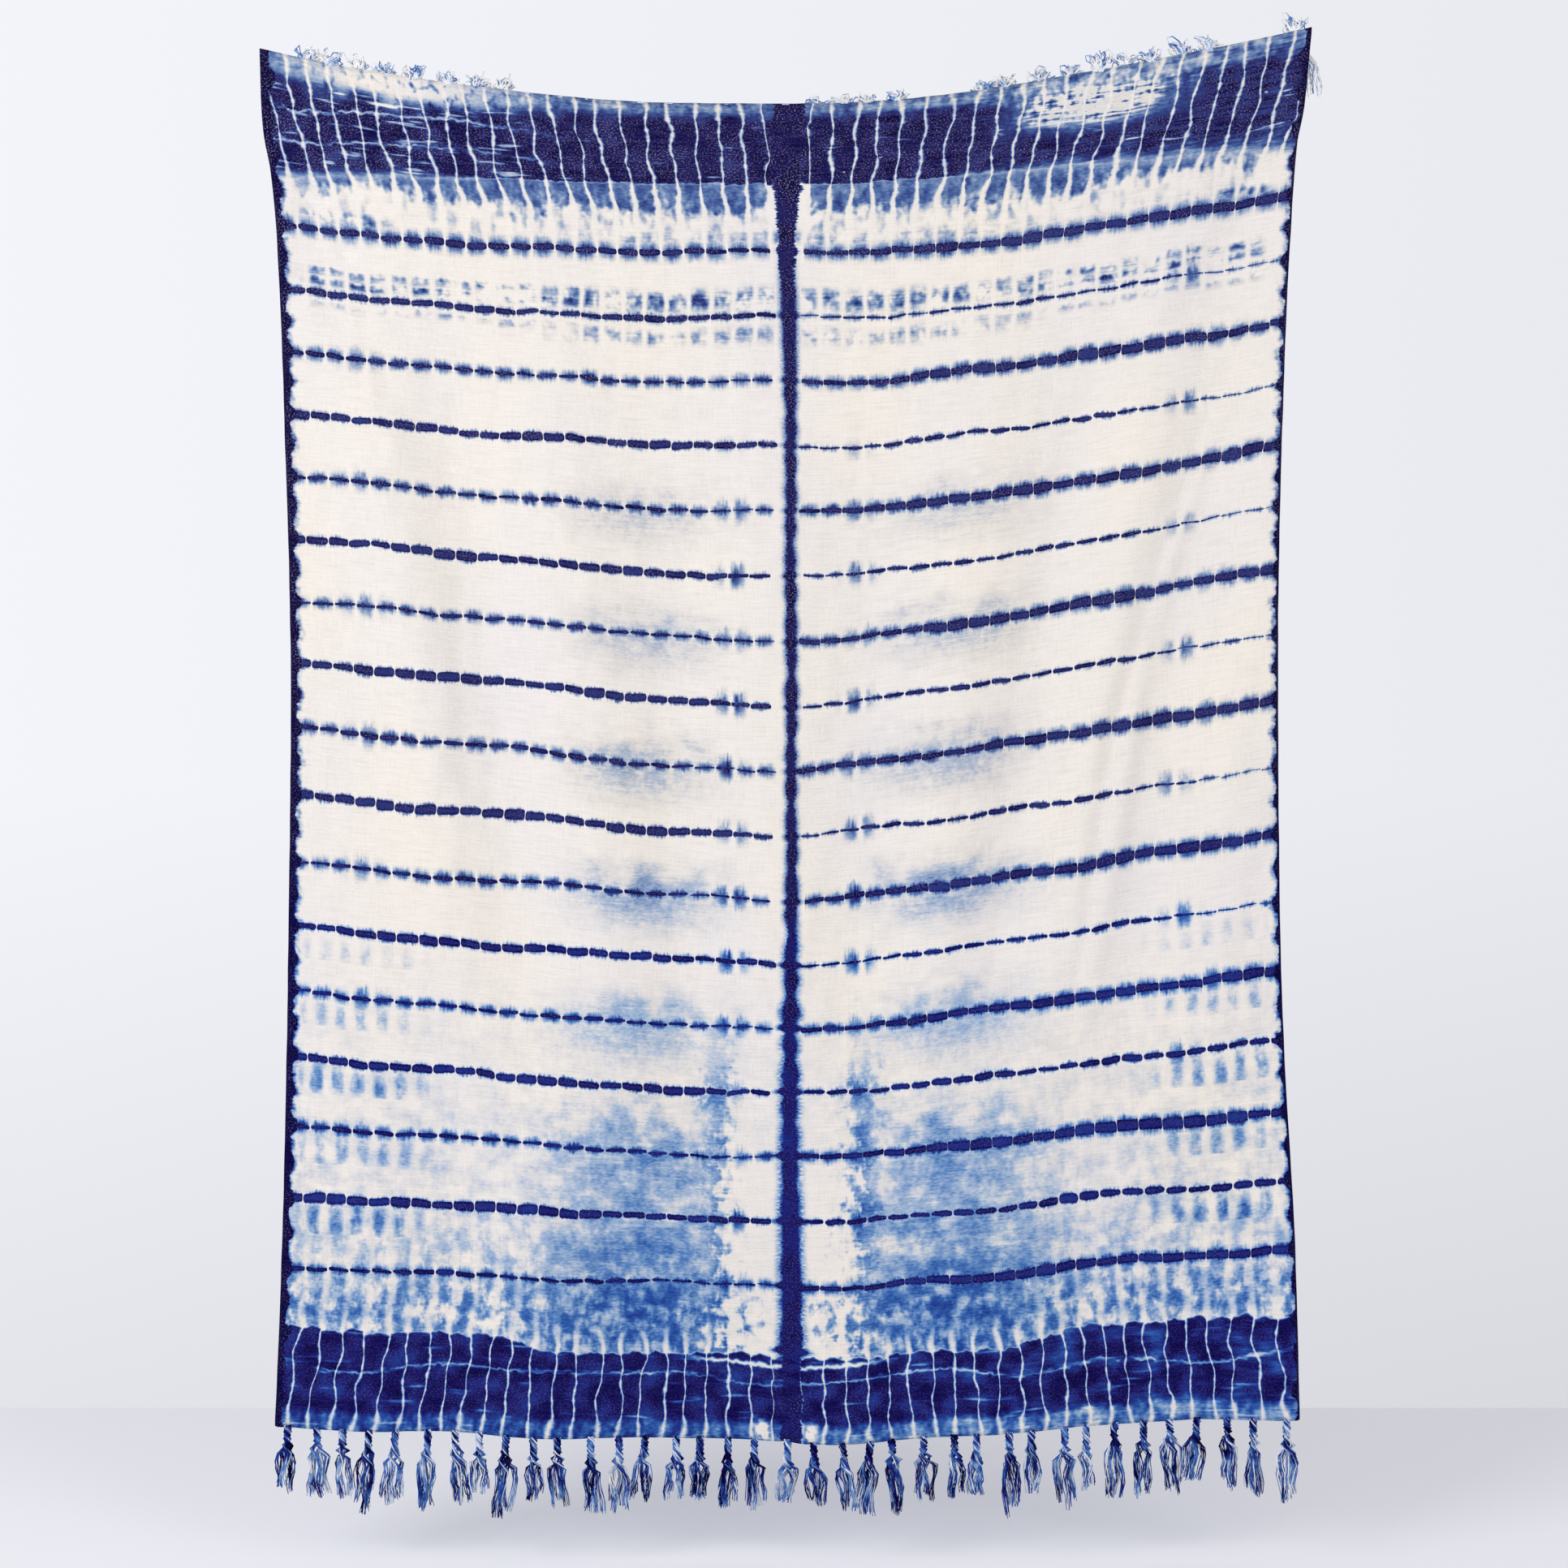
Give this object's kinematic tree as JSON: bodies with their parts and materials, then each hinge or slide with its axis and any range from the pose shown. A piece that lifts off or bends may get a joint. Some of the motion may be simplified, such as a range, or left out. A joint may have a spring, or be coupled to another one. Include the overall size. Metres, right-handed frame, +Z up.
{
  "type": "shibori dyed cotton throw",
  "caption": "Hanging rectangular dyed cotton throw, held at its two top corners, with a twisted tassel fringe along its top and bottom edges.",
  "frame": {"origin": "middle of the woven top edge, in the middle of the cloth's thickness", "axes": "+Z up; X along the top edge, +X to the viewer's right; +Y points behind the cloth"},
  "size_m": [1.3038, 0.0506, 1.8482],
  "materials": {
    "dyed_cotton": "matte gauze weave, resist dyed in indigo",
    "fringe_yarn": "matte twisted cotton yarn, unevenly dyed indigo"
  },
  "bodies": {
    "root": {"cloth": "dyed_cotton", "fringe_top": "fringe_yarn", "fringe_bottom": "fringe_yarn"}
  },
  "joints": []
}
